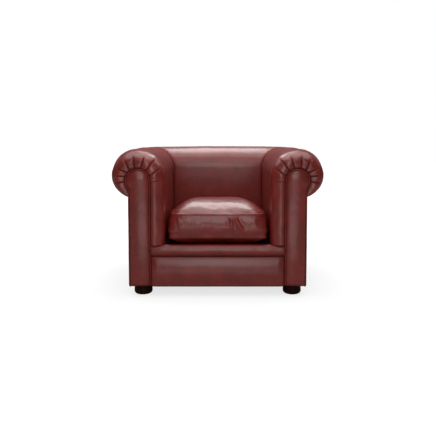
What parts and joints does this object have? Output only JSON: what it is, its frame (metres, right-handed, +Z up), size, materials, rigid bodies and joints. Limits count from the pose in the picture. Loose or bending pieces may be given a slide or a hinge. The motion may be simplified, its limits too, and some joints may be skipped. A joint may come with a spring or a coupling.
{
  "type": "chesterfield armchair",
  "caption": "Leather club armchair with rolled arms and back of one height, pleated scroll fronts, plain inside faces, a loose seat cushion and round bun feet.",
  "frame": {"origin": "on the floor, under the middle of the chair's bounding box", "axes": "+Z up, -Y towards the front of the seat, +X to the right of someone who faces the chair's front"},
  "size_m": [1.101, 0.9095, 0.76],
  "materials": {
    "ox_red_leather": "glossy semi-aniline, ox red, darker along the seams",
    "frame_hardwood": "planed beech, unfinished",
    "upholstery_foam": "cut polyurethane foam",
    "zinc_steel": "drawn wire and rolled thread, zinc plated",
    "woven_cloth": "black woven upholstery cloth",
    "zip_tape": "woven nylon zip, dark red",
    "stained_foot_wood": "turned hardwood, dark stain and satin lacquer"
  },
  "bodies": {
    "chair": {"arm_front_board_left": "frame_hardwood", "arm_front_board_right": "frame_hardwood", "arm_outer_rail_left": "frame_hardwood", "arm_outer_rail_right": "frame_hardwood", "arm_pad_left": "upholstery_foam", "arm_pad_right": "upholstery_foam", "arm_roll_board_left": "frame_hardwood", "arm_roll_board_right": "frame_hardwood", "arm_tack_rail_left": "frame_hardwood", "arm_tack_rail_right": "frame_hardwood", "arm_top_rail_left": "frame_hardwood", "arm_top_rail_right": "frame_hardwood", "back_outer_rail": "frame_hardwood", "back_pad": "upholstery_foam", "back_rail": "frame_hardwood", "back_roll_board": "frame_hardwood", "back_tack_rail": "frame_hardwood", "back_top_rail": "frame_hardwood", "border_roll": "ox_red_leather", "corner_block_front_left": "frame_hardwood", "corner_block_front_right": "frame_hardwood", "corner_block_rear_left": "frame_hardwood", "corner_block_rear_right": "frame_hardwood", "deck_cloth": "woven_cloth", "deck_pad": "woven_cloth", "dust_cover": "woven_cloth", "facing_left": "ox_red_leather", "facing_piping_left": "ox_red_leather", "facing_piping_right": "ox_red_leather", "facing_right": "ox_red_leather", "foot_bolt_front_left": "zinc_steel", "foot_bolt_front_right": "zinc_steel", "foot_bolt_rear_left": "zinc_steel", "foot_bolt_rear_right": "zinc_steel", "foot_front_left": "stained_foot_wood", "foot_front_right": "stained_foot_wood", "foot_rear_left": "stained_foot_wood", "foot_rear_right": "stained_foot_wood", "front_border": "ox_red_leather", "front_rail": "frame_hardwood", "inside_arm_cover_left": "ox_red_leather", "inside_arm_cover_right": "ox_red_leather", "inside_back_cover": "ox_red_leather", "outside_arm_cover_left": "ox_red_leather", "outside_arm_cover_right": "ox_red_leather", "outside_back_cover": "ox_red_leather", "rear_post_left": "frame_hardwood", "rear_post_right": "frame_hardwood", "seat_spring_1": "zinc_steel", "seat_spring_2": "zinc_steel", "seat_spring_3": "zinc_steel", "seat_spring_4": "zinc_steel", "seat_spring_5": "zinc_steel", "side_rail_left": "frame_hardwood", "side_rail_right": "frame_hardwood", "spring_rail": "frame_hardwood"},
    "seat_cushion": {"cushion_cover": "ox_red_leather", "cushion_core": "upholstery_foam", "cushion_zip": "zip_tape"}
  },
  "joints": [
    {"name": "cushion_lift", "type": "slide", "parent": "chair", "child": "seat_cushion", "axis": [0, 0, 1], "range_m": [0, 0.5]}
  ]
}
